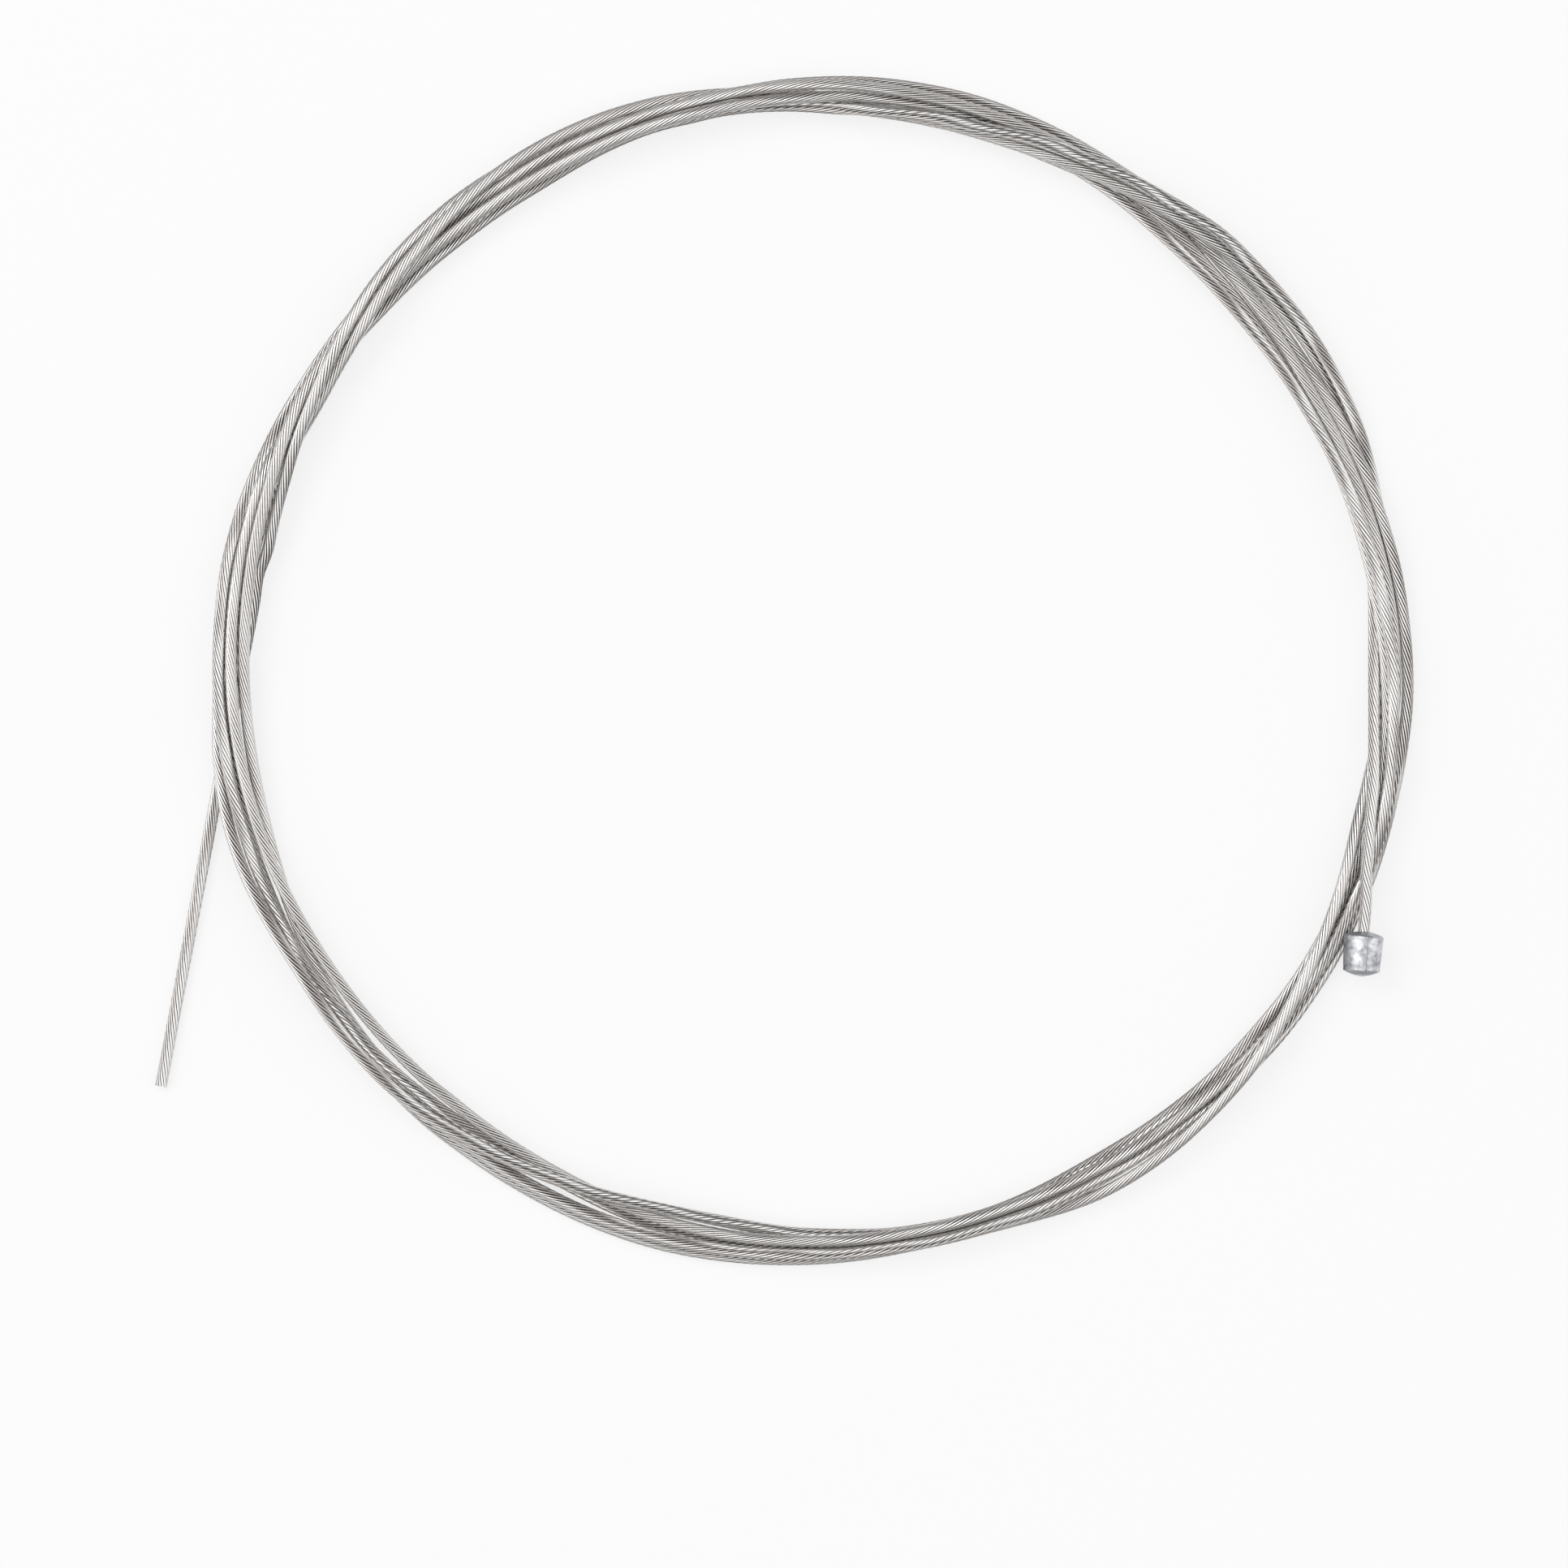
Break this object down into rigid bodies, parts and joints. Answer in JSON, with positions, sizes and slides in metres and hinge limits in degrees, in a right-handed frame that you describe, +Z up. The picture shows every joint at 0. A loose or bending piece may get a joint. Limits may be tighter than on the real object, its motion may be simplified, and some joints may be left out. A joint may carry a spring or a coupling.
{
  "type": "bicycle shift cable",
  "caption": "Inner cable for a bicycle's gears: a long wound steel strand with a small cast head, coiled flat.",
  "frame": {"origin": "bottom centre of the bounding box: the cable lies flat on z = 0, with its coil's centre about 3 mm to +X of the origin", "axes": "+Z up out of the coil's plane, +X from the tail toward the head, +Y across the coil, away from the head"},
  "size_m": [0.1276, 0.1204, 0.005],
  "materials": {
    "drawn_stainless_wire": "smooth drawn wire, bright",
    "cast_zinc": "as cast, satin"
  },
  "bodies": {
    "root": {"cable_strand": "drawn_stainless_wire", "cable_head": "cast_zinc"}
  },
  "joints": []
}
